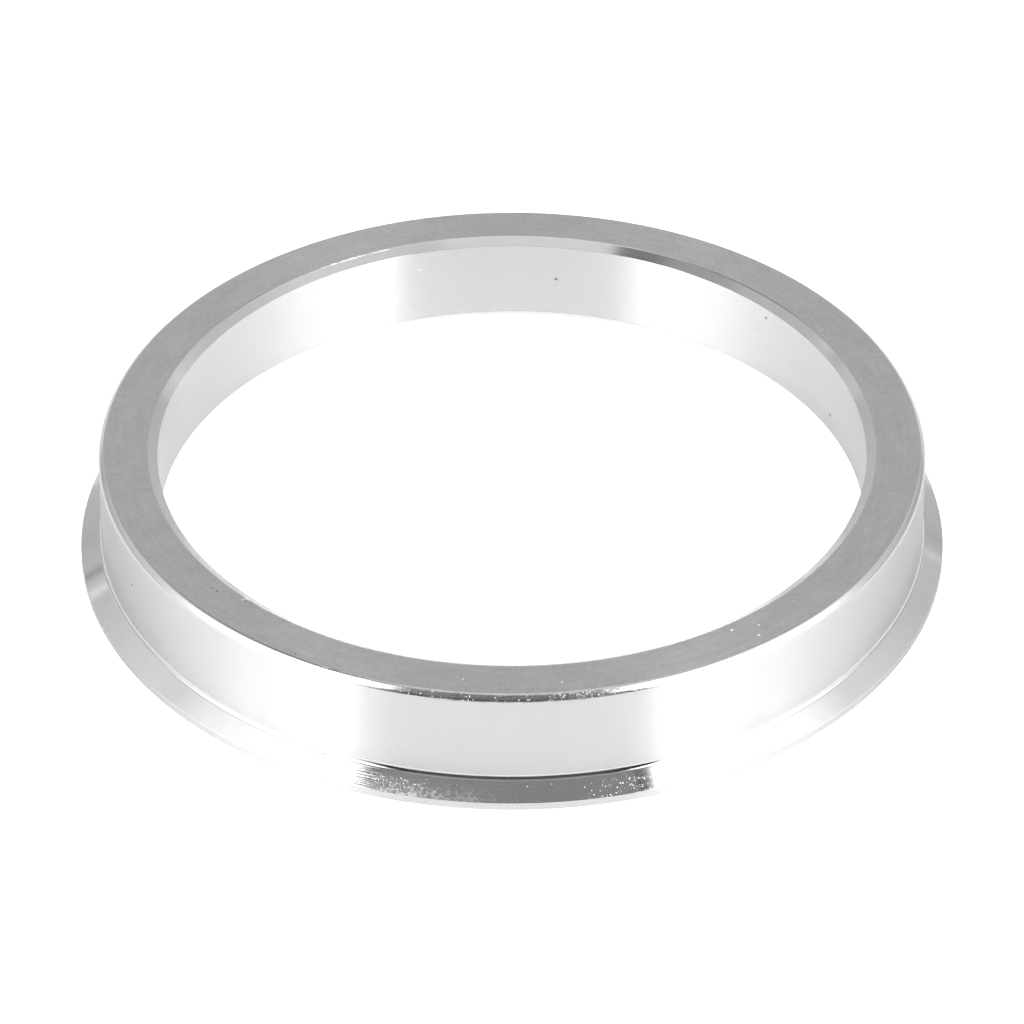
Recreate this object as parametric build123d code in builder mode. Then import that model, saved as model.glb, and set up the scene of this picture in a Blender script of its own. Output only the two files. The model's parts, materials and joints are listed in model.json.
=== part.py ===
"""Hub centric ring: a turned aluminium ring that centres a wheel on a hub spigot of smaller diameter.

The ring stands on its lip. The origin is on its axis, in the plane of the lip's face,
and +Z runs along the axis from the lip towards the end that goes into the wheel.
All sizes are in millimetres.
"""

import os

from build123d import *

# Bore that slides over the hub spigot, and the wall that fills the gap to the wheel's centre bore
bore_diameter = 57.1
wall_thickness = 4.75
ring_height = 9.8

# Lip that stops the ring in the mouth of the wheel's bore: an upright rim below a cone
lip_overhang = 1.7
rim_height = 0.75
cone_height = 1.22
root_radius = 0.5
rim_edge_break = 0.12

# Chamfers at the end that goes into the wheel
wall_chamfer = 0.44
bore_chamfer_width = 0.8
bore_chamfer_depth = 0.5

# Lead-in at the lip's end of the bore, which clears the fillet at the foot of the spigot
lead_in_width = 4.0
lead_in_depth = 2.6

# Sizes that follow from those above
bore_radius = bore_diameter / 2
wall_radius = bore_radius + wall_thickness
lip_radius = wall_radius + lip_overhang
lip_height = rim_height + cone_height

with BuildPart() as hub_centric_ring:
    # Rough-turned section with sharp corners, on the side of +X
    with BuildSketch(Plane.XZ):
        with BuildLine():
            Polyline(
                (bore_radius, 0),
                (lip_radius, 0),
                (lip_radius, rim_height),
                (wall_radius, lip_height),
                (wall_radius, ring_height),
                (bore_radius, ring_height),
                close=True,
            )
        make_face()
    revolve(axis=Axis.Z)

    # Concave root left by the nose of the turning tool between wall and cone
    lip_cone = hub_centric_ring.faces().filter_by(GeomType.CONE)[0]
    root_edge = lip_cone.edges().filter_by(GeomType.CIRCLE).sort_by(SortBy.RADIUS)[0]
    fillet(root_edge, radius=root_radius)

    # Lip's face: lead-in at the bore, and the rim's edge broken
    lip_face = hub_centric_ring.faces().sort_by(Axis.Z)[0]
    lip_bore_edge = lip_face.edges().sort_by(SortBy.RADIUS)[0]
    chamfer(lip_bore_edge, length=lead_in_width, length2=lead_in_depth, reference=lip_face)
    lip_face = hub_centric_ring.faces().sort_by(Axis.Z)[0]
    lip_rim_edge = lip_face.edges().sort_by(SortBy.RADIUS)[-1]
    chamfer(lip_rim_edge, length=rim_edge_break)

    # Top face: a shallow chamfer at the bore and a small one at the wall
    top_face = hub_centric_ring.faces().sort_by(Axis.Z)[-1]
    top_bore_edge = top_face.edges().sort_by(SortBy.RADIUS)[0]
    chamfer(top_bore_edge, length=bore_chamfer_width, length2=bore_chamfer_depth, reference=top_face)
    top_face = hub_centric_ring.faces().sort_by(Axis.Z)[-1]
    top_wall_edge = top_face.edges().sort_by(SortBy.RADIUS)[-1]
    chamfer(top_wall_edge, length=wall_chamfer)

hub_centric_ring.part.label = "hub_centric_ring"

os.makedirs("parts", exist_ok=True)
export_step(hub_centric_ring.part, "parts/hub_centric_ring.step")
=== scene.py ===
"""Hub centric ring: the look of the turned aluminium ring on a pale studio floor.

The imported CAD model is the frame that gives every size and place. All lengths are in metres,
the ring stands on its lip at the origin, and its axis is +Z.
"""

import json
import math

import bmesh
import bpy
from bpy.props import FloatProperty, FloatVectorProperty, IntProperty, PointerProperty
from bpy.types import NodeSocket, Operator, Panel, PropertyGroup
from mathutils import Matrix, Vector


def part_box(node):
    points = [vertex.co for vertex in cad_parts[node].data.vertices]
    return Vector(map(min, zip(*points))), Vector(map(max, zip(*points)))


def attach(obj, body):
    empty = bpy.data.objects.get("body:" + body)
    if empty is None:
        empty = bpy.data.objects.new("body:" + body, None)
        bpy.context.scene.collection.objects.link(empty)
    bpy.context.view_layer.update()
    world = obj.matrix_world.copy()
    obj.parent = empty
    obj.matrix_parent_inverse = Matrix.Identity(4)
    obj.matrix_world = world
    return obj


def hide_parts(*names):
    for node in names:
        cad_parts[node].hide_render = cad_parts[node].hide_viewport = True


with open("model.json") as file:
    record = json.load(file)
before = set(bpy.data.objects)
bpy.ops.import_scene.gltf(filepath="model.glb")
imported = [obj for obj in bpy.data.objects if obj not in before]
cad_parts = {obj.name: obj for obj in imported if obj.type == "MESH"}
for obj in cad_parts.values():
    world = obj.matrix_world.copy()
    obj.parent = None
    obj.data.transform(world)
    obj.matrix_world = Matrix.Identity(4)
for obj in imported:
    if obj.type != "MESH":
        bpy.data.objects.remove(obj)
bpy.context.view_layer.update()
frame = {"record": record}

bl_info = {
    "name": "Hub Centric Ring",
    "version": (1, 0, 0),
    "blender": (4, 5, 0),
    "location": "3D View > Sidebar > Hub Ring",
    "description": "Turns a hub centric ring to the CAD model's sizes and sets it on a studio floor",
    "category": "Object",
}

RING_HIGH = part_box("hub_centric_ring")[1]
MOUNTS = {mount["name"]: mount["dims"] for mount in frame["record"]["mounts"]}
MM = 0.001
MICROMETRE = 1e-6

# What settings of one kind have in common
LENGTH = {"precision": 6, "subtype": "DISTANCE", "unit": "LENGTH"}
COLOUR = {"min": 0.0, "max": 1.0, "subtype": "COLOR"}
SHARE = {"min": 0.0, "max": 1.0, "subtype": "FACTOR"}

# Kinds of socket of the node groups, and the grid on which nodes are laid out
FLOAT = "NodeSocketFloat"
VECTOR = "NodeSocketVector"
NODES_IN_ROW = 8
NODE_WIDTH = 200
NODE_HEIGHT = 260

# Points this near count as one place, and cuts and merges join points within the second distance
NEAR = 1e-6
MERGE_WITHIN = 1e-7

# Order of the ring's material slots
FACED_TOP, BRIGHT_WALL, BRIGHT_BORE, LIP_CONE, WALL_CHAMFER, BORE_CHAMFER, PLAIN_BASE = range(7)

# How far up a face's normal points, which tells the surfaces apart
LEVEL_FROM = 0.97
CHAMFER_FROM = 0.3
UPRIGHT_WITHIN = 0.1

# Quarter turn that stretches highlights across the turning lines, not along them
ACROSS_LINES = 0.25

# Roughness of torn grains and of pits
TORN_ROUGHNESS = 0.75
PIT_ROUGHNESS = 0.6

# Flats across the concave root of the lip
ROOT_SEGMENTS = 12

# Weight at which large faces set the normals of the small ones beside them
LARGE_FACE_WEIGHT = 100

# Marks of handling and of the cut, as places in millimetres
TOP_GRAINS = (
    (-3.77, -30.97, 9.8),
    (3.85, -31.35, 9.8),
    (17.09, -24.8, 9.8),
    (19.21, -24.16, 9.8),
    (19.17, -25.43, 9.8),
    (-21.03, -20.9, 9.8),
)
TOP_PITS = (
    (-23.49, -19.41, 9.8),
    (-23.09, -19.8, 9.8),
    (-16.78, -27.84, 9.8),
    (-20.8, -21.08, 9.8),
)
BORE_PITS = (
    (3.7, 28.31, 6.1),
    (21.05, 19.29, 8.44),
    (26.18, 11.39, 4.23),
)
BORE_GRAINS = (
    (3.96, 28.27, 6.1),
    (-7.65, 27.51, 7.52),
)
WALL_PITS = ((-30.1, -14.23, 6.15),)

# Nicks in the edges of the top face: degrees from the front, then the radius
# and the push into the metal in millimetres
EDGE_NICKS = (
    (-45.3, 29.36, 0.05),
    (-41.7, 29.36, 0.035),
    (-25.2, 32.86, -0.05),
)
NICK_GUARD = 0.4 * MM

# Colours of the studio's air: around the panels, and where the camera sees past the floor
DIM_AIR = (0.04, 0.04, 0.04, 1.0)
PALE_AIR = (0.9, 0.9, 0.9, 1.0)

# Floor, light tent and middle of the view, in metres
FLOOR_SIZE = 6.0
FLOOR_DROP = 0.01 * MM
SIDE_WALL = 0.45
BACK_WALL = 0.54
ROOF = 1.1
CAMERA_TARGET = (0.0, 0.0037, 0.0)

# Watts for each square metre of a panel at a brightness of 1, and the ways that panels face
PANEL_POWER = 4.0
RIGHTWARDS = (1, 0, 0)
LEFTWARDS = (-1, 0, 0)
BACKWARDS = (0, 1, 0)
FORWARDS = (0, -1, 0)
DOWNWARDS = (0, 0, -1)

# How bright the side panels are from their front edge to their back edge, as pairs of place and level
SOFT_EDGE = ((0.0, 0.0), (0.24, 0.34), (0.42, 0.94), (1.0, 0.74))
HARD_EDGE = ((0.0, 0.95), (0.4, 0.95), (1.0, 0.74))
LEFT_FADE = (
    (0.0, 0.8), (0.16, 0.38), (0.4, 0.15), (0.55, 0.14), (0.74, 0.12), (0.75, 0.19), (0.765, 0.19),
    (0.775, 0.13), (0.805, 0.13), (0.815, 0.07), (0.83, 0.07), (0.845, 0.12), (1.0, 0.12),
)
RIGHT_FADE = (
    (0.0, 0.8), (0.16, 0.4), (0.4, 0.15), (0.58, 0.13), (0.7, 0.12),
    (0.88, 0.13), (0.89, 0.165), (0.905, 0.165), (0.915, 0.125), (1.0, 0.115),
)

# How bright panels are from their lower edge to their upper edge
KEY_RISE = ((0.0, 0.22), (0.15, 0.32), (0.35, 0.9), (0.45, 1.0), (0.7, 0.75), (1.0, 0.2))
LEFT_RISE = ((0.0, 0.3), (0.1, 0.38), (0.2, 0.48), (0.45, 0.6), (0.7, 0.4), (1.0, 0.35))
RIGHT_RISE = ((0.0, 0.3), (0.1, 0.38), (0.2, 0.48), (0.45, 0.6), (0.7, 0.46), (1.0, 0.46))
BACK_RISE = ((0.0, 0.45), (1.0, 0.3))

# Panels as bright as the key: name, centre, facing, width and height, and the two ramps
KEY_PANELS = (
    ("left_key", (-SIDE_WALL, -0.437, 0.4875), RIGHTWARDS, (0.474, 0.975), SOFT_EDGE, KEY_RISE),
    ("right_key", (SIDE_WALL, -0.402, 0.535), LEFTWARDS, (0.404, 1.07), HARD_EDGE, KEY_RISE),
    ("left_fill", (-SIDE_WALL, 0.17, 0.375), RIGHTWARDS, (0.74, 0.75), LEFT_FADE, LEFT_RISE),
    ("right_fill", (SIDE_WALL, 0.17, 0.375), LEFTWARDS, (0.74, 0.75), RIGHT_FADE, RIGHT_RISE),
)

# Other panels, each with its brightness before the rest
FILL_PANELS = (
    (0.25, "left_top", (-SIDE_WALL, 0.17, 0.925), RIGHTWARDS, (0.74, 0.35)),
    (0.55, "right_top", (SIDE_WALL, 0.17, 0.925), LEFTWARDS, (0.74, 0.35)),
    (1.0, "back_wall", (0.0, BACK_WALL, 0.4), FORWARDS, (0.9, 0.8), None, BACK_RISE),
    (0.62, "roof", (-0.05, 0.1825, ROOF), DOWNWARDS, (0.5, 0.835)),
    (0.5, "right_roof", (0.325, 0.1825, ROOF), DOWNWARDS, (0.25, 0.835)),
    (0.1, "left_roof", (-0.375, 0.1825, ROOF), DOWNWARDS, (0.15, 0.835)),
    (0.2, "front_roof", (-0.02, -0.595, ROOF), DOWNWARDS, (0.86, 0.71)),
    (0.05, "front_wall", (0.0, -1.0, 0.55), BACKWARDS, (1.0, 1.1)),
)


class RingSizes(PropertyGroup):
    """Sizes of the ring's section; those that the CAD model states are read from it."""

    bore_radius: FloatProperty(
        name="Bore Radius",
        description="Radius of the bore that slides over the hub spigot",
        default=MOUNTS["hub_bore"]["r_mm"] * MM,
        **LENGTH,
    )
    wall_radius: FloatProperty(
        name="Wall Radius",
        description="Radius of the wall that fits the wheel's centre bore",
        default=MOUNTS["wheel_seat"]["r_mm"] * MM,
        **LENGTH,
    )
    lip_radius: FloatProperty(
        name="Lip Radius", description="Radius of the lip's upright rim", default=RING_HIGH.x, **LENGTH
    )
    ring_height: FloatProperty(
        name="Ring Height",
        description="Height from the lip's face to the top face",
        default=RING_HIGH.z,
        **LENGTH,
    )
    rim_height: FloatProperty(
        name="Rim Height", description="Height of the lip's upright rim", default=0.75 * MM, **LENGTH
    )
    cone_height: FloatProperty(
        name="Cone Height",
        description="Rise of the lip's cone from the rim to the wall",
        default=1.22 * MM,
        **LENGTH,
    )
    root_reach: FloatProperty(
        name="Root Reach",
        description="How far the concave root runs out on to the cone",
        default=0.2653 * MM,
        **LENGTH,
    )
    root_relief: FloatProperty(
        name="Root Relief",
        description="How far the tool's nose cut below the corner of wall and cone",
        default=0.0494 * MM,
        **LENGTH,
    )
    rim_edge_break: FloatProperty(
        name="Rim Edge Break",
        description="Size of the chamfer on the rim's lower edge",
        default=0.12 * MM,
        **LENGTH,
    )
    wall_chamfer: FloatProperty(
        name="Wall Chamfer",
        description="Size of the chamfer between wall and top face",
        default=0.44 * MM,
        **LENGTH,
    )
    bore_chamfer_width: FloatProperty(
        name="Bore Chamfer Width",
        description="Width of the chamfer between bore and top face",
        default=0.8 * MM,
        **LENGTH,
    )
    bore_chamfer_depth: FloatProperty(
        name="Bore Chamfer Depth",
        description="Depth of the chamfer between bore and top face",
        default=0.5 * MM,
        **LENGTH,
    )
    lead_in_width: FloatProperty(
        name="Lead-in Width",
        description="Width of the chamfer at the lip's end of the bore",
        default=4.0 * MM,
        **LENGTH,
    )
    lead_in_depth: FloatProperty(
        name="Lead-in Depth",
        description="Depth of the chamfer at the lip's end of the bore",
        default=2.6 * MM,
        **LENGTH,
    )
    edge_round: FloatProperty(
        name="Edge Round",
        description="How far a turned edge is rounded by deburring",
        default=0.03 * MM,
        **LENGTH,
    )
    outer_edge_round: FloatProperty(
        name="Outer Edge Round",
        description="How far the outer edge of the top face is rounded by deburring",
        default=0.16 * MM,
        **LENGTH,
    )
    inner_edge_round: FloatProperty(
        name="Inner Edge Round",
        description="How far the inner edge of the top face is rounded by deburring",
        default=0.09 * MM,
        **LENGTH,
    )
    wall_edge_round: FloatProperty(
        name="Wall Edge Round",
        description="How far the edge between wall and chamfer is rounded",
        default=0.2 * MM,
        **LENGTH,
    )
    bore_edge_round: FloatProperty(
        name="Bore Edge Round",
        description="How far the crisp edge between bore and chamfer is rounded",
        default=0.01 * MM,
        **LENGTH,
    )
    turning_steps: IntProperty(
        name="Turning Steps",
        description="Number of flats that one turn of the section is made of",
        default=512,
        min=64,
    )


class RingFinish(PropertyGroup):
    """Colour and finish of the turned aluminium."""

    metal_colour: FloatVectorProperty(
        name="Metal Colour",
        description="Colour of freshly turned aluminium",
        default=(0.72, 0.72, 0.72),
        **COLOUR,
    )
    # Painted light: the bore and its chamfer get a lighter copy of the metal colour, which stands in for
    # the brighter light they reflect from the floor inside the ring
    bore_colour_with_painted_light: FloatVectorProperty(
        name="Bore Colour",
        description="Colour of the bore and its chamfer, which are cut brighter than the rest",
        default=(0.79, 0.79, 0.79),
        **COLOUR,
    )
    # Partly real and partly painted highlight: torn grains and chips get this near-white colour so that
    # they look as bright as where they catch the light; the bore chamfer's painted light and edge
    # highlight use it too
    grain_and_highlight_colour: FloatVectorProperty(
        name="Grain Colour",
        description="Colour of torn grains and chips that catch the light",
        default=(0.96, 0.96, 0.96),
        **COLOUR,
    )
    # The pits are given this dark colour, besides being cut into the surface by bump
    pit_colour: FloatVectorProperty(
        name="Pit Colour",
        description="Colour of pits that hold some dirt",
        default=(0.3, 0.3, 0.3),
        **COLOUR,
    )
    grazing_tint: FloatVectorProperty(
        name="Grazing Tint",
        description="Share of the light that the wall keeps at a grazing view, where metals lose some",
        default=(0.85, 0.85, 0.85),
        **COLOUR,
    )
    top_roughness: FloatProperty(
        name="Top Roughness", description="Roughness of the faced top", default=0.3, **SHARE
    )
    bright_roughness: FloatProperty(
        name="Bright Roughness",
        description="Roughness of the finely turned wall and bore",
        default=0.27,
        **SHARE,
    )
    cone_roughness: FloatProperty(
        name="Cone Roughness", description="Roughness of the lip's cone and root", default=0.09, **SHARE
    )
    wall_chamfer_roughness: FloatProperty(
        name="Wall Chamfer Roughness",
        description="Roughness of the chamfer between wall and top face",
        default=0.2,
        **SHARE,
    )
    bore_chamfer_roughness: FloatProperty(
        name="Bore Chamfer Roughness",
        description="Roughness of the chamfer between bore and top face",
        default=0.12,
        **SHARE,
    )


class StudioSettings(PropertyGroup):
    """Floor, light and camera of the studio."""

    floor_colour: FloatVectorProperty(
        name="Floor Colour",
        description="Colour of the studio floor",
        default=(0.88, 0.88, 0.88),
        **COLOUR,
    )
    floor_roughness: FloatProperty(
        name="Floor Roughness",
        description="Roughness of the floor, which is a little glossy at a grazing view",
        default=0.3,
        **SHARE,
    )
    floor_gloss: FloatProperty(
        name="Floor Gloss", description="How much the floor mirrors", default=0.06, **SHARE
    )
    floor_glow: FloatProperty(
        name="Floor Glow",
        description="How much paler the floor looks to the camera than the light on it makes it",
        default=0.8,
        min=0.0,
    )
    key_brightness: FloatProperty(
        name="Key Brightness",
        description="Brightness of the two tall side panels at their brightest",
        default=7.9,
        min=0.0,
    )
    camera_distance: FloatProperty(
        name="Camera Distance",
        description="Distance from the camera to the floor at the middle of the view",
        default=0.5715,
        min=0.1,
        **LENGTH,
    )
    camera_elevation: FloatProperty(
        name="Camera Elevation",
        description="Angle of the camera above the horizon",
        default=math.radians(36.69),
        subtype="ANGLE",
        unit="ROTATION",
    )
    camera_lens: FloatProperty(
        name="Camera Lens",
        description="Focal length in millimetres on a sensor 36 mm wide",
        default=245.6,
        min=10.0,
    )


def feed_inputs(tree, node, feeds):
    """Feeds a node's inputs with values or with other nodes' outputs."""
    for name, value in feeds.items():
        if isinstance(value, NodeSocket):
            tree.links.new(value, node.inputs[name])
        else:
            node.inputs[name].default_value = value


def add_node(tree, kind, feeds=None, **settings):
    """Adds a node with its settings, and feeds its inputs."""
    node = tree.nodes.new(kind)
    row, column = divmod(len(tree.nodes), NODES_IN_ROW)
    node.location = (NODE_WIDTH * column, -NODE_HEIGHT * row)
    for name, value in settings.items():
        setattr(node, name, value)
    feed_inputs(tree, node, feeds or {})
    return node


def calculate(tree, operation, first, second=0.0, third=0.0):
    """Adds a Math node and returns its value."""
    feeds = {0: first, 1: second, 2: third}
    return add_node(tree, "ShaderNodeMath", feeds, operation=operation).outputs[0]


def multiply(tree, first, second):
    """Multiplies two values and returns the product."""
    return calculate(tree, "MULTIPLY", first, second)


def on_vector(tree, operation, feeds):
    """Adds a Vector Math node and returns it."""
    return add_node(tree, "ShaderNodeVectorMath", feeds, operation=operation)


def remap(tree, value, low, high, new_low, new_high, kind="LINEAR"):
    """Spreads a value's range from low to high over a new range, clamped, and returns it."""
    feeds = {"Value": value, "From Min": low, "From Max": high, "To Min": new_low, "To Max": new_high}
    node = add_node(tree, "ShaderNodeMapRange", feeds, clamp=True, interpolation_type=kind)
    return node.outputs["Result"]


def add_noise(tree, place, scale, detail, roughness=0.5):
    """Adds a Noise Texture and returns its value."""
    feeds = {"Vector": place, "Scale": scale, "Detail": detail, "Roughness": roughness}
    return add_node(tree, "ShaderNodeTexNoise", feeds).outputs["Fac"]


def weigh(tree, *parts):
    """Adds up values, each times its weight, and returns the sum."""
    total = 0.0
    for value, weight in parts:
        total = calculate(tree, "MULTIPLY_ADD", value, weight, total)
    return total


def blend_colours(tree, share, first, second):
    """Mixes two colours by a share and returns the mix."""
    return add_node(tree, "ShaderNodeMix", {0: share, 6: first, 7: second}, data_type="RGBA").outputs[2]


def opaque(colour, strength=1.0):
    """A colour as a socket takes it, made darker or lighter by a strength."""
    return tuple(min(1.0, part * strength) for part in colour) + (1.0,)


def new_group(name, inputs, outputs):
    """Makes an empty shader node group, and returns it with what comes in and its end node."""
    group = bpy.data.node_groups.new(name, "ShaderNodeTree")
    for socket, kind in inputs.items():
        group.interface.new_socket(socket, in_out="INPUT", socket_type=kind)
    for socket, kind in outputs.items():
        group.interface.new_socket(socket, in_out="OUTPUT", socket_type=kind)
    start = add_node(group, "NodeGroupInput").outputs
    return group, start, add_node(group, "NodeGroupOutput")


def turned_position_group():
    """Group: radius, height and direction from the axis of a point of the ring, in millimetres."""
    outputs = {"Radius": FLOAT, "Height": FLOAT, "Around": VECTOR, "Place": VECTOR}
    group, _, end = new_group("turned_position", {}, outputs)
    place = add_node(group, "ShaderNodeTexCoord").outputs["Object"]
    in_mm = on_vector(group, "SCALE", {0: place, "Scale": 1.0 / MM}).outputs[0]
    flat = on_vector(group, "MULTIPLY", {0: in_mm, 1: (1.0, 1.0, 0.0)}).outputs[0]
    radius = on_vector(group, "LENGTH", {0: flat}).outputs["Value"]
    around = on_vector(group, "NORMALIZE", {0: flat}).outputs[0]
    height = add_node(group, "ShaderNodeSeparateXYZ", {0: in_mm}).outputs["Z"]
    feed_inputs(group, end, {"Radius": radius, "Height": height, "Around": around, "Place": in_mm})
    return group


def turning_lines_group():
    """Group: fine lines that a turning tool leaves round the axis, fading in and out along their run."""
    inputs = {"Across": FLOAT, "Around": VECTOR, "Pitch": FLOAT, "Breaks": FLOAT}
    group, start, end = new_group("turning_lines", inputs, {"Lines": FLOAT})
    steps = calculate(group, "DIVIDE", start["Across"], start["Pitch"])
    run = on_vector(group, "SCALE", {0: start["Around"], "Scale": start["Breaks"]}).outputs[0]
    ends = add_node(group, "ShaderNodeSeparateXYZ", {0: run}).outputs
    feeds = {"X": ends["X"], "Y": ends["Y"], "Z": steps}
    track = add_node(group, "ShaderNodeCombineXYZ", feeds).outputs[0]
    noise = add_noise(group, track, scale=1.0, detail=3.0, roughness=0.6)
    feed_inputs(group, end, {"Lines": remap(group, noise, 0.25, 0.75, 0.0, 1.0, "SMOOTHSTEP")})
    return group


def specks_group():
    """Group: scattered torn grains, each of its own size and strength; the share says how many."""
    inputs = {"Place": VECTOR, "Spacing": FLOAT, "Size": FLOAT, "Share": FLOAT}
    group, start, end = new_group("specks", inputs, {"Specks": FLOAT})
    scale = calculate(group, "DIVIDE", 1.0, start["Spacing"])
    cells = add_node(group, "ShaderNodeTexVoronoi", {"Vector": start["Place"], "Scale": scale}).outputs
    chance = add_node(group, "ShaderNodeSeparateColor", {0: cells["Color"]}).outputs
    taken = calculate(group, "LESS_THAN", chance["Red"], start["Share"])
    reach = multiply(group, calculate(group, "ADD", chance["Green"], 0.5), scale)
    reach = multiply(group, reach, start["Size"])
    depth = calculate(group, "DIVIDE", cells["Distance"], reach)
    shape = multiply(group, remap(group, depth, 0.5, 1.0, 1.0, 0.0), taken)
    strength = remap(group, chance["Blue"], 0.0, 1.0, 0.1, 1.0)
    feed_inputs(group, end, {"Specks": multiply(group, shape, strength)})
    return group


def clouds_group():
    """Group: soft uneven patches, as left by handling and by the cutting fluid."""
    group, start, end = new_group("clouds", {"Place": VECTOR, "Size": FLOAT}, {"Clouds": FLOAT})
    scale = calculate(group, "DIVIDE", 1.0, start["Size"])
    noise = add_noise(group, start["Place"], scale, detail=4.0, roughness=0.6)
    feed_inputs(group, end, {"Clouds": remap(group, noise, 0.3, 0.7, 0.0, 1.0)})
    return group


def single_mark_group():
    """Group: one small mark with an uneven edge at a given spot."""
    inputs = {"Place": VECTOR, "Spot": VECTOR, "Size": FLOAT}
    group, start, end = new_group("single_mark", inputs, {"Mark": FLOAT})
    away = on_vector(group, "DISTANCE", {0: start["Place"], 1: start["Spot"]}).outputs["Value"]
    grain = add_noise(group, start["Place"], scale=9.0, detail=2.0)
    uneven = multiply(group, away, calculate(group, "ADD", grain, 0.5))
    share = calculate(group, "DIVIDE", uneven, start["Size"])
    feed_inputs(group, end, {"Mark": remap(group, share, 0.5, 1.0, 1.0, 0.0)})
    return group


def worn_patch_group():
    """Group: a patch round one direction from the axis, fading out to both sides, whole and ragged."""
    inputs = {
        "Place": VECTOR,
        "Around": VECTOR,
        "Direction": VECTOR,
        "Half Angle": FLOAT,
        "Grain": FLOAT,
    }
    group, start, end = new_group("worn_patch", inputs, {"Whole": FLOAT, "Ragged": FLOAT})
    feeds = {0: start["Around"], 1: start["Direction"]}
    facing = on_vector(group, "DOT_PRODUCT", feeds).outputs["Value"]
    angle = calculate(group, "ARCCOSINE", calculate(group, "MINIMUM", facing, 1.0))
    share = calculate(group, "DIVIDE", angle, start["Half Angle"])
    whole = remap(group, share, 0.4, 1.0, 1.0, 0.0)
    scale = calculate(group, "DIVIDE", 1.0, start["Grain"])
    noise = add_noise(group, start["Place"], scale, detail=4.0, roughness=0.65)
    ragged = multiply(group, remap(group, noise, 0.4, 0.65, 0.0, 1.0), whole)
    feed_inputs(group, end, {"Whole": whole, "Ragged": ragged})
    return group


def shared_groups():
    """Builds the groups that the finishes share, once."""
    return {
        "position": turned_position_group(),
        "lines": turning_lines_group(),
        "specks": specks_group(),
        "clouds": clouds_group(),
        "mark": single_mark_group(),
        "patch": worn_patch_group(),
    }


class TurnedFinish:
    """One finish of the ring while its nodes are laid; sizes in millimetres, heights in micrometres."""

    def __init__(self, name, groups, anisotropy):
        self.material = bpy.data.materials.new(name)
        self.material.use_nodes = True
        self.tree = self.material.node_tree
        self.groups = groups
        self.metal = self.tree.nodes["Principled BSDF"]
        tangent = add_node(self.tree, "ShaderNodeTangent", direction_type="RADIAL", axis="Z")
        feeds = {
            "Metallic": 1.0,
            "Anisotropic": anisotropy,
            "Anisotropic Rotation": ACROSS_LINES,
            "Tangent": tangent.outputs["Tangent"],
        }
        feed_inputs(self.tree, self.metal, feeds)
        self.spot = self.place("position", {})
        self.colour = None
        self.roughness = None
        self.height = None

    def place(self, kind, feeds):
        """Places one of the shared groups in the material."""
        return add_node(self.tree, "ShaderNodeGroup", feeds, node_tree=self.groups[kind]).outputs

    def lines(self, by_radius, by_height, pitch, breaks):
        """Turning lines; the first two say how much radius and height count across them."""
        part = multiply(self.tree, self.spot["Radius"], by_radius)
        across = calculate(self.tree, "MULTIPLY_ADD", self.spot["Height"], by_height, part)
        feeds = {"Across": across, "Around": self.spot["Around"], "Pitch": pitch, "Breaks": breaks}
        return self.place("lines", feeds)["Lines"]

    def clouds(self, size):
        """Soft patches of about this size."""
        return self.place("clouds", {"Place": self.spot["Place"], "Size": size})["Clouds"]

    def specks(self, spacing, size, share):
        """Torn grains of about this size, of which the share is kept."""
        feeds = {"Place": self.spot["Place"], "Spacing": spacing, "Size": size, "Share": share}
        return self.place("specks", feeds)["Specks"]

    def marks(self, spots, size):
        """Single marks at the given spots."""
        total = 0.0
        for spot in spots:
            mark = self.place("mark", {"Place": self.spot["Place"], "Spot": spot, "Size": size})["Mark"]
            total = calculate(self.tree, "MAXIMUM", mark, total)
        return total

    def patch(self, angle, half_angle, grain=1.0, edge="Whole"):
        """A worn patch, whole or ragged; its angle is in degrees from the front, towards the right."""
        turn = math.radians(angle - 90.0)
        feeds = {
            "Place": self.spot["Place"],
            "Around": self.spot["Around"],
            "Direction": (math.cos(turn), math.sin(turn), 0.0),
            "Half Angle": math.radians(half_angle),
            "Grain": grain,
        }
        return self.place("patch", feeds)[edge]

    def start(self, colour, roughness, clouds, lines, spread, change):
        """Starts the finish: its colour varies with the clouds, and its roughness with the lines."""
        self.colour = blend_colours(
            self.tree, clouds, opaque(colour, 1.0 - spread), opaque(colour, 1.0 + spread)
        )
        least = roughness * (1.0 - change)
        most = roughness * (1.0 + change)
        self.roughness = remap(self.tree, lines, 0.0, 1.0, least, most)

    def lift(self, shape, height):
        """Raises the surface, or cuts into it, where the shape is."""
        if self.height is None:
            self.height = multiply(self.tree, shape, height)
        else:
            self.height = calculate(self.tree, "MULTIPLY_ADD", shape, height, self.height)

    def cover(self, share, colour, roughness):
        """Gives the shared part of the surface another colour and roughness."""
        self.colour = blend_colours(self.tree, share, self.colour, opaque(colour))
        self.roughen(share, roughness)

    def roughen(self, share, roughness):
        """Brings the roughness of the shared part of the surface to a new value."""
        feeds = {0: share, 2: self.roughness, 3: roughness}
        self.roughness = add_node(self.tree, "ShaderNodeMix", feeds, data_type="FLOAT").outputs[0]

    def done(self):
        """Connects colour, roughness and height to the metal, and returns the material."""
        feeds = {"Strength": 1.0, "Distance": MICROMETRE, "Height": self.height}
        bumps = add_node(self.tree, "ShaderNodeBump", feeds).outputs["Normal"]
        feeds = {"Base Color": self.colour, "Roughness": self.roughness, "Normal": bumps}
        feed_inputs(self.tree, self.metal, feeds)
        return self.material


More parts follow.
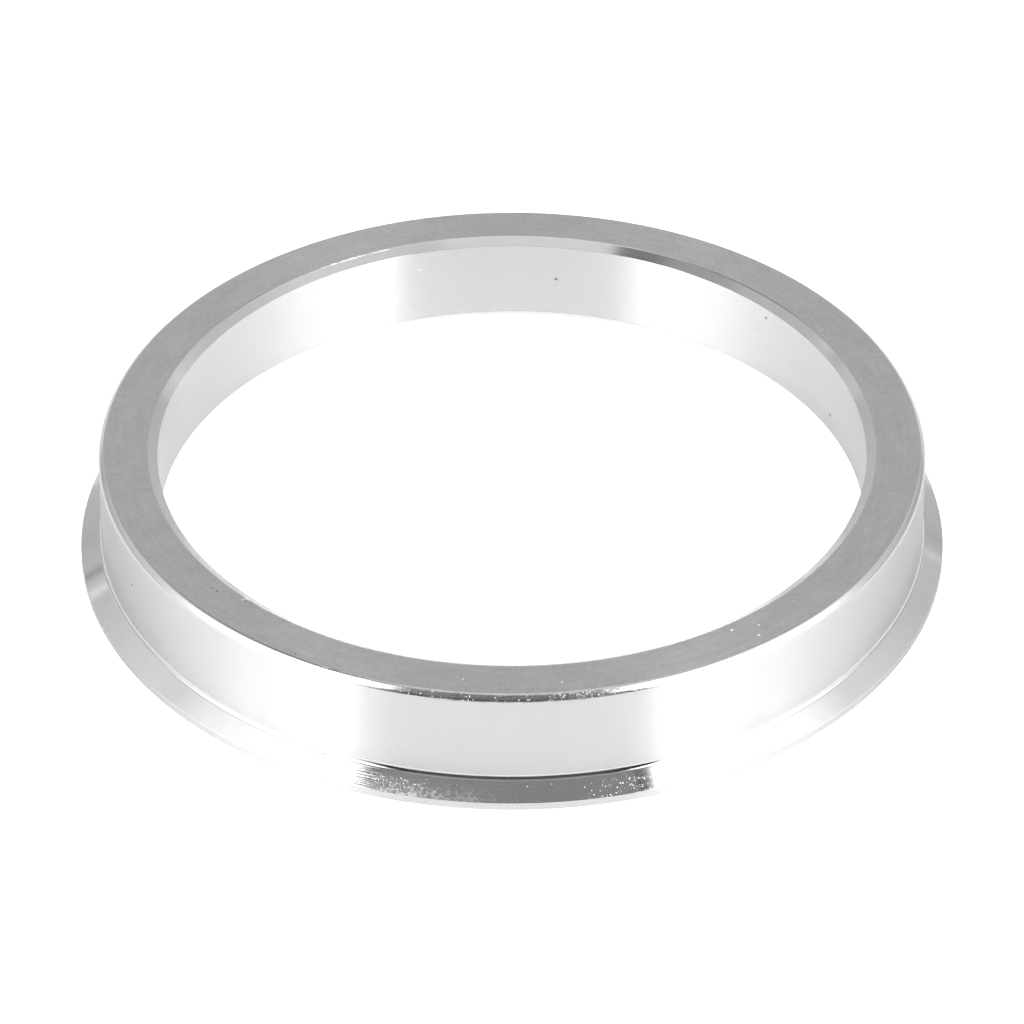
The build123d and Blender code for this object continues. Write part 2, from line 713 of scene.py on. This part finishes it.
def faced_top_finish(groups, finish):
    """Top face: satin from facing, mottled by handling, with faint arcs, a few grains and pits."""
    top = TurnedFinish("faced_top", groups, anisotropy=0.8)
    lines = top.lines(by_radius=1.0, by_height=0.0, pitch=0.3, breaks=5.0)
    mottle = weigh(top.tree, (top.clouds(2.2), 0.3), (lines, 0.25), (top.clouds(0.3), 0.45))
    top.start(finish.metal_colour, finish.top_roughness, mottle, lines, spread=0.15, change=0.06)
    top.lift(lines, height=0.02)
    grains = top.specks(spacing=0.5, size=0.05, share=0.03)
    grains = calculate(top.tree, "MAXIMUM", grains, top.marks(TOP_GRAINS, size=0.11))
    # The grains get the near-white colour, partly a painted highlight
    top.cover(grains, finish.grain_and_highlight_colour, TORN_ROUGHNESS)
    top.lift(grains, height=14.0)
    pits = top.marks(TOP_PITS, size=0.14)
    top.cover(pits, finish.pit_colour, PIT_ROUGHNESS)
    top.lift(pits, height=-12.0)
    return top.done()


def bright_wall_finish(groups, finish):
    """Wall and rim: finely turned and bright, with hardly a line to see."""
    wall = TurnedFinish("bright_wall", groups, anisotropy=1.0)
    wall.metal.inputs["Specular Tint"].default_value = opaque(finish.grazing_tint)
    lines = wall.lines(by_radius=0.0, by_height=1.0, pitch=0.16, breaks=2.5)
    clouds = wall.clouds(size=3.0)
    wall.start(finish.metal_colour, finish.bright_roughness, clouds, lines, spread=0.01, change=0.01)
    pits = wall.marks(WALL_PITS, size=0.13)
    wall.cover(pits, finish.pit_colour, PIT_ROUGHNESS)
    wall.lift(pits, height=-10.0)
    return wall.done()


def bright_bore_finish(groups, finish):
    """Bore: finely turned and bright, with faint lines, a stained patch and a few pits."""
    bore = TurnedFinish("bright_bore", groups, anisotropy=1.0)
    lines = bore.lines(by_radius=0.0, by_height=1.0, pitch=0.22, breaks=2.0)
    clouds = bore.clouds(size=1.2)
    # The bore's lighter colour is painted light reflected from the floor inside the ring
    bore.start(finish.bore_colour_with_painted_light, finish.bright_roughness, clouds, lines, spread=0.012, change=0.015)
    stain = bore.patch(angle=-163.5, half_angle=6.0, edge="Ragged")
    bore.cover(multiply(bore.tree, stain, 0.3), finish.metal_colour, roughness=0.275)
    pits = bore.marks(BORE_PITS, size=0.15)
    bore.cover(pits, finish.pit_colour, PIT_ROUGHNESS)
    bore.lift(pits, height=-14.0)
    grains = bore.marks(BORE_GRAINS, size=0.12)
    # The grains get the near-white colour, partly a painted highlight
    bore.cover(grains, finish.grain_and_highlight_colour, roughness=0.4)
    bore.lift(grains, height=45.0)
    return bore.done()


def lip_cone_finish(groups, finish):
    """Cone and root of the lip: cut bright, with torn grains and a smeared patch near the front."""
    cone = TurnedFinish("lip_cone", groups, anisotropy=0.6)
    tree = cone.tree
    lines = cone.lines(by_radius=0.81, by_height=-0.58, pitch=0.14, breaks=3.0)
    clouds = cone.clouds(size=0.9)
    cone.start(finish.metal_colour, finish.cone_roughness, clouds, lines, spread=0.02, change=0.2)
    cone.lift(lines, height=0.06)
    feather = cone.patch(angle=-21.0, half_angle=7.0)
    cone.lift(multiply(tree, lines, feather), height=3.0)
    front = cone.patch(angle=0.0, half_angle=20.0)
    fine = remap(tree, cone.clouds(size=0.12), 0.5, 1.0, 0.0, 0.4)
    cone.cover(multiply(tree, fine, front), finish.metal_colour, roughness=0.45)
    haze = multiply(tree, cone.patch(angle=-9.0, half_angle=9.5), cone.clouds(size=0.3))
    low = remap(tree, cone.spot["Height"], 0.8, 1.8, 1.0, 0.0)
    haze = calculate(tree, "POWER", multiply(tree, haze, low), 1.2)
    cone.cover(haze, finish.metal_colour, roughness=0.5)
    smear = cone.patch(angle=-14.0, half_angle=6.0, grain=0.12, edge="Ragged")
    low = remap(tree, cone.spot["Height"], 1.0, 1.6, 0.4, 0.1)
    cone.cover(multiply(tree, smear, low), finish.metal_colour, roughness=0.5)
    left = cone.patch(angle=-16.0, half_angle=7.0)
    right = cone.patch(angle=17.0, half_angle=8.0)
    share = weigh(tree, (left, 0.65), (right, 0.8), (front, 0.07))
    below_root = remap(tree, cone.spot["Height"], 1.5, 1.65, 1.0, 0.0)
    grains = cone.specks(spacing=0.17, size=0.04, share=multiply(tree, share, below_root))
    # The grains get the near-white colour, partly a painted highlight
    cone.cover(grains, finish.grain_and_highlight_colour, TORN_ROUGHNESS)
    cone.lift(grains, height=10.0)
    return cone.done()


def wall_chamfer_finish(groups, finish):
    """Chamfer between wall and top: a coarse cut with torn grains, most of them low down in front."""
    chamfer = TurnedFinish("wall_chamfer", groups, anisotropy=0.5)
    tree = chamfer.tree
    front = chamfer.patch(angle=0.0, half_angle=26.0)
    lines = chamfer.lines(by_radius=0.7, by_height=-0.7, pitch=0.1, breaks=16.0)
    mottle = weigh(tree, (chamfer.clouds(0.5), 0.4), (chamfer.clouds(0.12), 0.6), (0.5, -1.0))
    mottle = calculate(tree, "MULTIPLY_ADD", mottle, front, 0.5)
    roughness = finish.wall_chamfer_roughness
    chamfer.start(finish.metal_colour, roughness, mottle, lines, spread=0.3, change=0.25)
    chamfer.lift(multiply(tree, lines, front), height=5.0)
    right = chamfer.patch(angle=12.0, half_angle=9.0)
    low = remap(tree, chamfer.spot["Height"], 9.36, 9.5, 0.35, 0.1)
    share = weigh(tree, (right, 0.9), (multiply(tree, front, low), 1.0))
    grains = chamfer.specks(spacing=0.13, size=0.04, share=share)
    # The grains get the near-white colour, partly a painted highlight
    chamfer.cover(grains, finish.grain_and_highlight_colour, TORN_ROUGHNESS)
    chamfer.lift(grains, height=12.0)
    return chamfer.done()


def bore_chamfer_finish(groups, finish):
    """Chamfer between bore and top: smooth, painted lighter in front as painted reflected light, with
    grains and a painted highlight along its upper edge at the back left.
    """
    chamfer = TurnedFinish("bore_chamfer", groups, anisotropy=0.8)
    tree = chamfer.tree
    lines = chamfer.lines(by_radius=0.85, by_height=0.53, pitch=0.12, breaks=3.0)
    clouds = chamfer.clouds(size=1.2)
    roughness = finish.bore_chamfer_roughness
    # The chamfer's lighter colour is painted light reflected from the floor inside the ring
    chamfer.start(finish.bore_colour_with_painted_light, roughness, clouds, lines, spread=0.02, change=0.2)
    chamfer.lift(lines, height=0.12)
    # Painted light: the near side of the chamfer gets a near-white colour, standing in for the bright
    # floor that it reflects
    near_side_painted_light = multiply(tree, chamfer.patch(angle=0.0, half_angle=75.0), 0.9)
    chamfer.cover(near_side_painted_light, finish.grain_and_highlight_colour, roughness=0.16)
    # Painted highlight: a thin near-white line with a slight bump along the chamfer's upper edge at the
    # back left
    edge = remap(tree, chamfer.spot["Height"], 9.73, 9.76, 0.0, 0.8)
    painted_edge_highlight = chamfer.patch(angle=-154.0, half_angle=9.0, grain=0.3, edge="Ragged")
    painted_edge_highlight = multiply(tree, painted_edge_highlight, edge)
    grains = chamfer.specks(spacing=0.4, size=0.05, share=0.04)
    # From here the mask holds both the grains and the painted edge highlight
    grains = calculate(tree, "MAXIMUM", grains, painted_edge_highlight)
    chamfer.cover(grains, finish.grain_and_highlight_colour, TORN_ROUGHNESS)
    chamfer.lift(grains, height=10.0)
    return chamfer.done()


def plain_base_finish(groups, finish):
    """Lip's face, lead-in and broken edge: plainly turned and left."""
    base = TurnedFinish("plain_base", groups, anisotropy=0.8)
    lines = base.lines(by_radius=0.8, by_height=-0.6, pitch=0.22, breaks=4.0)
    clouds = base.clouds(size=2.5)
    base.start(finish.metal_colour, finish.top_roughness, clouds, lines, spread=0.04, change=0.16)
    base.lift(lines, height=0.3)
    return base.done()


def pick_points(test):
    """Selects the points of the mesh in edit mode that the test picks by their place."""
    bpy.ops.mesh.select_all(action="DESELECT")
    mesh = bpy.context.edit_object.data
    points = bmesh.from_edit_mesh(mesh)
    for point in points.verts:
        point.select = test(point.co)
    points.select_flush_mode()
    bmesh.update_edit_mesh(mesh)


def cut_section(place, normal, clear=False):
    """Cuts an edge across the section, and clears away what the normal points to if told so."""
    bpy.ops.mesh.select_all(action="SELECT")
    bpy.ops.mesh.bisect(plane_co=place, plane_no=normal, clear_outer=clear, threshold=MERGE_WITHIN)


def join_section():
    """Joins the section's faces to one."""
    bpy.ops.mesh.select_all(action="SELECT")
    bpy.ops.mesh.dissolve_faces()


def cut_corner(first, second, kept):
    """Cuts the section along the line through two of its points and leaves the side of the third."""
    along = Vector((second[0] - first[0], 0.0, second[1] - first[1]))
    outward = Vector((along.z, 0.0, -along.x)).normalized()
    towards_kept = Vector((kept[0] - first[0], 0.0, kept[1] - first[1]))
    if outward.dot(towards_kept) > 0.0:
        outward.negate()
    cut_section((first[0], 0.0, first[1]), outward, clear=True)


def round_corners(offset, segments):
    """Rounds the selected corners of the section."""
    bpy.ops.mesh.bevel(
        offset=offset, segments=segments, profile=0.5, affect="VERTICES", clamp_overlap=False
    )


def near(place, radius, height):
    """True if a place of the section is at this radius and height."""
    return abs(place.x - radius) < NEAR and abs(place.z - height) < NEAR


class HUBRING_OT_turn_ring(Operator):
    """Turns the ring from its section and gives each surface its finish"""

    bl_idname = "hubring.turn_ring"
    bl_label = "Turn Ring"
    bl_options = {"REGISTER", "UNDO"}

    def execute(self, context):
        sizes = context.scene.hub_ring_sizes
        bpy.ops.object.select_all(action="DESELECT")
        ring = self.draw_section(sizes)
        self.cut_chamfers(sizes)
        self.round_edges(sizes)
        self.round_root(sizes)
        self.guard_top(sizes)
        self.spin_section(sizes)
        self.nick_edges(sizes)
        bpy.ops.object.mode_set(mode="OBJECT")
        self.finish_surfaces(ring, sizes, context.scene.hub_ring_finish)
        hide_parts("hub_centric_ring")
        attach(ring, "root")
        return {"FINISHED"}

    def draw_section(self, sizes):
        """Draws the section with sharp corners: the wall first, then the lip pulled out of its foot."""
        lip_height = sizes.rim_height + sizes.cone_height
        bpy.ops.mesh.primitive_plane_add(size=1.0, rotation=(math.pi / 2, 0.0, 0.0))
        ring = bpy.context.object
        ring.name = "turned_ring"
        ring.data.name = "turned_ring"
        bpy.ops.object.transform_apply(location=True, rotation=True, scale=True)
        bpy.ops.object.mode_set(mode="EDIT")
        bpy.ops.mesh.select_mode(type="VERT")
        bpy.ops.transform.resize(value=(sizes.wall_radius - sizes.bore_radius, 1.0, sizes.ring_height))
        middle = (sizes.bore_radius + sizes.wall_radius) / 2
        bpy.ops.transform.translate(value=(middle, 0.0, sizes.ring_height / 2))
        cut_section((0.0, 0.0, lip_height), (0.0, 0.0, 1.0))
        pick_points(lambda place: place.x > sizes.wall_radius - NEAR and place.z < lip_height + NEAR)
        overhang = sizes.lip_radius - sizes.wall_radius
        bpy.ops.mesh.extrude_region_move(TRANSFORM_OT_translate={"value": (overhang, 0.0, 0.0)})
        pick_points(lambda place: near(place, sizes.lip_radius, lip_height))
        bpy.ops.transform.translate(value=(0.0, 0.0, -sizes.cone_height))
        join_section()
        return ring

    def cut_chamfers(self, sizes):
        """Cuts the two chamfers of the top face, the lead-in and the broken edge of the rim."""
        top = sizes.ring_height
        bore = sizes.bore_radius
        wall = sizes.wall_radius
        lip = sizes.lip_radius
        middle = ((bore + wall) / 2, top / 2)
        chamfer_foot = (bore, top - sizes.bore_chamfer_depth)
        cut_corner(chamfer_foot, (bore + sizes.bore_chamfer_width, top), middle)
        cut_corner((wall, top - sizes.wall_chamfer), (wall - sizes.wall_chamfer, top), middle)
        cut_corner((bore, sizes.lead_in_depth), (bore + sizes.lead_in_width, 0.0), middle)
        cut_corner((lip, sizes.rim_edge_break), (lip - sizes.rim_edge_break, 0.0), middle)

    def root_end(self, sizes):
        """Where the concave root runs out on the cone, as radius and height."""
        slope = sizes.cone_height / (sizes.lip_radius - sizes.wall_radius)
        height = sizes.rim_height + sizes.cone_height - sizes.root_reach * slope
        return sizes.wall_radius + sizes.root_reach, height

    def round_edges(self, sizes):
        """Marks the end of the root on the cone, and rounds every corner but the root's."""
        lip_height = sizes.rim_height + sizes.cone_height
        reach = self.root_end(sizes)[0]
        cut_section((reach, 0.0, 0.0), (1.0, 0.0, 0.0))
        join_section()
        for spare in ((reach, 0.0), (sizes.wall_radius, 0.0), (sizes.bore_radius, lip_height)):
            pick_points(lambda place: near(place, *spare))
            bpy.ops.mesh.dissolve_verts()
        top = sizes.ring_height
        other_corners = (
            (sizes.lip_radius, sizes.rim_height),
            (sizes.lip_radius, sizes.rim_edge_break),
            (sizes.lip_radius - sizes.rim_edge_break, 0.0),
            (sizes.bore_radius + sizes.lead_in_width, 0.0),
            (sizes.bore_radius, sizes.lead_in_depth),
        )
        rounds = (
            (sizes.outer_edge_round, 4, ((sizes.wall_radius - sizes.wall_chamfer, top),)),
            (sizes.inner_edge_round, 4, ((sizes.bore_radius + sizes.bore_chamfer_width, top),)),
            (sizes.wall_edge_round, 6, ((sizes.wall_radius, top - sizes.wall_chamfer),)),
            (sizes.bore_edge_round, 2, ((sizes.bore_radius, top - sizes.bore_chamfer_depth),)),
            (sizes.edge_round, 3, other_corners),
        )
        for offset, segments, corners in rounds:
            pick_points(lambda place: any(near(place, *corner) for corner in corners))
            round_corners(offset, segments)

    def round_root(self, sizes):
        """Rounds the concave root of the lip as the tool's nose leaves it."""
        lip_height = sizes.rim_height + sizes.cone_height
        pick_points(lambda place: near(place, sizes.wall_radius, lip_height))
        bpy.ops.transform.translate(value=(0.0, 0.0, -sizes.root_relief))
        corner = Vector((sizes.wall_radius, lip_height - sizes.root_relief))
        reach = (corner - Vector(self.root_end(sizes))).length
        round_corners(reach, ROOT_SEGMENTS)

    def guard_top(self, sizes):
        """Adds a point to the top face beside each of its edges, so that a nick stays at the edge."""
        top = sizes.ring_height
        inner = sizes.bore_radius + sizes.bore_chamfer_width + NICK_GUARD
        outer = sizes.wall_radius - sizes.wall_chamfer - NICK_GUARD
        for radius in (inner, outer):
            cut_section((radius, 0.0, 0.0), (1.0, 0.0, 0.0))
            join_section()
            pick_points(lambda place: abs(place.x - radius) < NEAR and place.z < top / 2)
            bpy.ops.mesh.dissolve_verts()

    def spin_section(self, sizes):
        """Spins the section's outline round the axis and closes the seam."""
        bpy.ops.mesh.select_all(action="SELECT")
        bpy.ops.mesh.delete(type="ONLY_FACE")
        bpy.ops.mesh.select_all(action="SELECT")
        bpy.ops.mesh.spin(
            steps=sizes.turning_steps,
            angle=2.0 * math.pi,
            center=(0.0, 0.0, 0.0),
            axis=(0.0, 0.0, 1.0),
            use_auto_merge=True,
        )
        bpy.ops.mesh.select_all(action="SELECT")
        bpy.ops.mesh.remove_doubles(threshold=MERGE_WITHIN)
        bpy.ops.mesh.normals_make_consistent(inside=False)

    def nick_edges(self, sizes):
        """Pushes single columns of edge points into the metal, as handling has done."""
        half_step = math.pi / sizes.turning_steps
        for degrees, radius, push in EDGE_NICKS:
            turn = math.radians(degrees)
            outward = Vector((math.sin(turn), -math.cos(turn), 0.0))

            def at_nick(place):
                flat = Vector((place.x, place.y, 0.0))
                close = abs(flat.length - radius * MM) < NICK_GUARD / 2
                high = place.z > sizes.ring_height - NICK_GUARD / 2
                return close and high and flat.angle(outward) < half_step

            pick_points(at_nick)
            shift = outward * push * MM
            bpy.ops.transform.translate(value=(shift.x, shift.y, -abs(push) * MM))

    def finish_surfaces(self, ring, sizes, finish):
        """Shades the ring smooth with flat faces kept flat, and gives each surface its material."""
        bpy.ops.object.shade_smooth()
        self.resize(ring, 1.0 / MM)
        bpy.ops.object.modifier_add(type="WEIGHTED_NORMAL")
        ring.modifiers[-1].keep_sharp = False
        ring.modifiers[-1].weight = LARGE_FACE_WEIGHT
        bpy.ops.object.modifier_apply(modifier=ring.modifiers[-1].name)
        self.resize(ring, MM)
        groups = shared_groups()
        finishes = (
            faced_top_finish,
            bright_wall_finish,
            bright_bore_finish,
            lip_cone_finish,
            wall_chamfer_finish,
            bore_chamfer_finish,
            plain_base_finish,
        )
        for make_finish in finishes:
            ring.data.materials.append(make_finish(groups, finish))
        for face in ring.data.polygons:
            face.material_index = self.surface_of(face, sizes)

    def resize(self, ring, scale):
        """Resizes the ring's mesh; weighted normals can't tell small faces apart at the real size."""
        ring.scale = (scale, scale, scale)
        bpy.ops.object.transform_apply(location=False, rotation=False, scale=True)

    def surface_of(self, face, sizes):
        """Tells which of the ring's surfaces a face belongs to, by its place and normal."""
        radius = math.hypot(face.center.x, face.center.y)
        outward = (face.normal.x * face.center.x + face.normal.y * face.center.y) / radius
        upward = face.normal.z
        if upward > LEVEL_FROM:
            return FACED_TOP
        if upward < -UPRIGHT_WITHIN:
            return PLAIN_BASE
        if outward < 0.0:
            return BORE_CHAMFER if upward > CHAMFER_FROM else BRIGHT_BORE
        if upward < UPRIGHT_WITHIN:
            return BRIGHT_WALL
        return WALL_CHAMFER if face.center.z > sizes.ring_height / 2 else LIP_CONE


class HUBRING_OT_set_studio(Operator):
    """Sets the pale floor, the soft studio light and the camera"""

    bl_idname = "hubring.set_studio"
    bl_label = "Set Studio"
    bl_options = {"REGISTER", "UNDO"}

    def execute(self, context):
        studio = context.scene.hub_ring_studio
        self.lay_floor(studio)
        self.light_air(context.scene)
        self.hang_lights(studio)
        self.place_camera(context.scene, studio)
        return {"FINISHED"}

    def lay_floor(self, studio):
        """Lays the floor under the ring, a hair below the lip's face."""
        bpy.ops.object.select_all(action="DESELECT")
        bpy.ops.mesh.primitive_plane_add(size=FLOOR_SIZE, location=(0.0, 0.0, -FLOOR_DROP))
        floor = bpy.context.object
        floor.name = "studio_floor"
        material = bpy.data.materials.new("pale_floor")
        material.use_nodes = True
        tree = material.node_tree
        seen = add_node(tree, "ShaderNodeLightPath").outputs["Is Camera Ray"]
        feeds = {
            "Base Color": opaque(studio.floor_colour),
            "Roughness": studio.floor_roughness,
            "Specular IOR Level": studio.floor_gloss,
            "Emission Color": opaque(studio.floor_colour),
            "Emission Strength": multiply(tree, seen, studio.floor_glow),
        }
        feed_inputs(tree, tree.nodes["Principled BSDF"], feeds)
        floor.data.materials.append(material)

    def light_air(self, scene):
        """Makes the studio's air dim, and pale where the camera sees past the floor."""
        world = bpy.data.worlds.new("studio_air")
        scene.world = world
        world.use_nodes = True
        tree = world.node_tree
        air = tree.nodes["Background"]
        air.inputs["Color"].default_value = DIM_AIR
        seen = add_node(tree, "ShaderNodeBackground", {"Color": PALE_AIR})
        path = add_node(tree, "ShaderNodeLightPath")
        feeds = {0: path.outputs["Is Camera Ray"], 1: air.outputs[0], 2: seen.outputs[0]}
        mix = add_node(tree, "ShaderNodeMixShader", feeds)
        tree.links.new(mix.outputs[0], tree.nodes["World Output"].inputs["Surface"])

    def hang_lights(self, studio):
        """Hangs soft panels like the walls and roof of a light tent that is dim towards the camera."""
        for panel in KEY_PANELS:
            self.hang_panel(studio.key_brightness, *panel)
        for panel in FILL_PANELS:
            self.hang_panel(*panel)

    def hang_panel(self, brightness, name, centre, facing, size, steps=None, rise=None):
        """Hangs one soft panel; its size is its width and height.

        Steps gives how its brightness changes from its front edge to its back edge,
        and rise how it changes from its lower edge to its upper edge.
        """
        width, height = size
        turn = Vector(facing).to_track_quat("-Z", "Y").to_euler()
        bpy.ops.object.light_add(type="AREA", location=centre, rotation=turn)
        panel = bpy.context.object
        panel.name = name
        panel.visible_camera = False
        light = panel.data
        light.shape = "RECTANGLE"
        light.size = width
        light.size_y = height
        light.energy = PANEL_POWER * width * height * brightness
        light.use_nodes = True
        tree = light.node_tree
        position = add_node(tree, "ShaderNodeNewGeometry").outputs["Position"]
        place = add_node(tree, "ShaderNodeSeparateXYZ", {0: position}).outputs
        glow = tree.nodes["Emission"].inputs
        if steps:
            tree.links.new(self.ramp(tree, place["Y"], centre[1], width, steps), glow["Color"])
        if rise:
            tree.links.new(self.ramp(tree, place["Z"], centre[2], height, rise), glow["Strength"])

    def ramp(self, tree, place, middle, length, stops):
        """Adds a ramp of brightness along one side of a panel and returns its colour."""
        share = remap(tree, place, middle - length / 2, middle + length / 2, 0.0, 1.0)
        ramp = add_node(tree, "ShaderNodeValToRGB", {"Fac": share})
        elements = ramp.color_ramp.elements
        elements.remove(elements[-1])
        for index, (where, level) in enumerate(stops):
            element = elements[0] if index == 0 else elements.new(where)
            element.position = where
            element.color = (level, level, level, 1.0)
        return ramp.outputs["Color"]

    def place_camera(self, scene, studio):
        """Places the camera where the photograph was taken from."""
        back = Vector((0.0, -math.cos(studio.camera_elevation), math.sin(studio.camera_elevation)))
        target = Vector(CAMERA_TARGET)
        turn = (-back).to_track_quat("-Z", "Y").to_euler()
        bpy.ops.object.camera_add(location=target + back * studio.camera_distance, rotation=turn)
        camera = bpy.context.object
        camera.name = "photo_camera"
        camera.data.lens = studio.camera_lens
        camera.data.sensor_width = 36.0
        camera.data.clip_start = 0.01
        camera.data.clip_end = 20.0
        scene.camera = camera
        scene.view_settings.view_transform = "Standard"


class HUBRING_PT_panel(Panel):
    """Lists the ring's and the studio's settings and steps"""

    bl_label = "Hub Centric Ring"
    bl_space_type = "VIEW_3D"
    bl_region_type = "UI"
    bl_category = "Hub Ring"

    def draw(self, context):
        layout = self.layout
        scene = context.scene
        for settings in (scene.hub_ring_sizes, scene.hub_ring_finish, scene.hub_ring_studio):
            column = layout.column(align=True)
            for name in settings.__annotations__:
                column.prop(settings, name)
        layout.operator(HUBRING_OT_turn_ring.bl_idname)
        layout.operator(HUBRING_OT_set_studio.bl_idname)


CLASSES = (
    RingSizes,
    RingFinish,
    StudioSettings,
    HUBRING_OT_turn_ring,
    HUBRING_OT_set_studio,
    HUBRING_PT_panel,
)


def register():
    """Registers the classes and hangs their settings on the scene."""
    for item in CLASSES:
        bpy.utils.register_class(item)
    bpy.types.Scene.hub_ring_sizes = PointerProperty(type=RingSizes)
    bpy.types.Scene.hub_ring_finish = PointerProperty(type=RingFinish)
    bpy.types.Scene.hub_ring_studio = PointerProperty(type=StudioSettings)


def unregister():
    """Takes the settings off the scene and unregisters the classes."""
    del bpy.types.Scene.hub_ring_studio
    del bpy.types.Scene.hub_ring_finish
    del bpy.types.Scene.hub_ring_sizes
    for item in reversed(CLASSES):
        bpy.utils.unregister_class(item)


def main():
    register()
    bpy.ops.hubring.turn_ring()
    bpy.ops.hubring.set_studio()


if __name__ == "__main__":
    main()
